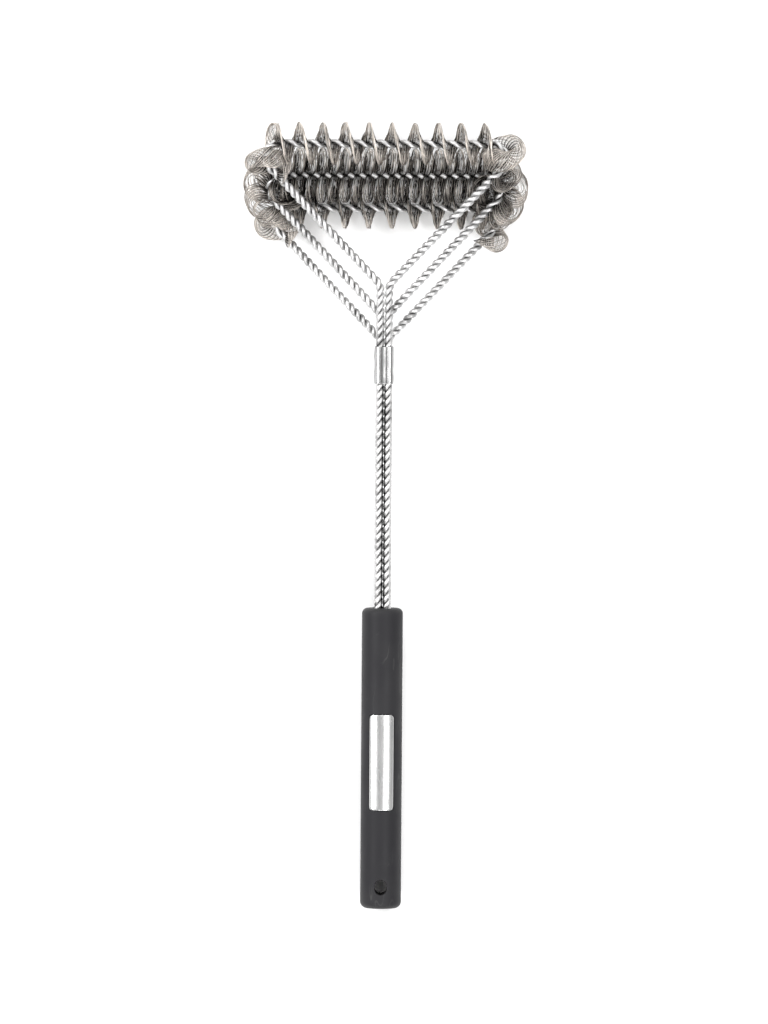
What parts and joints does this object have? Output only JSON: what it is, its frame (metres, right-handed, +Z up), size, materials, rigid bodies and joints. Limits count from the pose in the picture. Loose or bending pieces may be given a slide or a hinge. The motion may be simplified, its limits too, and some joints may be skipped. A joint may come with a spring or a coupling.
{
  "type": "grill cleaning brush",
  "caption": "Bristle-free grill brush: wound-wire coils on twisted wire cores, splayed from a crimped stem into a round plastic grip with a hanging hole and a curved nameplate.",
  "frame": {"origin": "centre of the bounding box, on the surface that the brush lies on", "axes": "+Y from the butt of the handle towards the heads, +Z up from the surface and out of the side that carries the nameplate, +X to the right"},
  "size_m": [0.1602, 0.4568, 0.0604],
  "materials": {
    "grip_plastic": "finely textured moulding, charcoal",
    "plate_steel": "fine brushing along the handle",
    "adhesive": "foam tape, hidden",
    "resin": "cast, hidden",
    "ferrule_steel": "bright crimped sleeve",
    "core_wire": "bright drawn wire",
    "coil_wire": "fine drawn wire, slightly warm"
  },
  "bodies": {
    "root": {"handle_grip": "grip_plastic", "nameplate": "plate_steel", "nameplate_adhesive": "adhesive", "socket_bonding_resin": "resin", "anchor_ferrule": "ferrule_steel", "stem_ferrule": "ferrule_steel", "far_head_core_wire_a": "core_wire", "far_head_core_wire_b": "core_wire", "far_head_coil": "coil_wire", "middle_head_core_wire_a": "core_wire", "middle_head_core_wire_b": "core_wire", "middle_head_coil": "coil_wire", "middle_head_second_coil": "coil_wire", "near_head_core_wire_a": "core_wire", "near_head_core_wire_b": "core_wire", "near_head_coil": "coil_wire"}
  },
  "joints": []
}
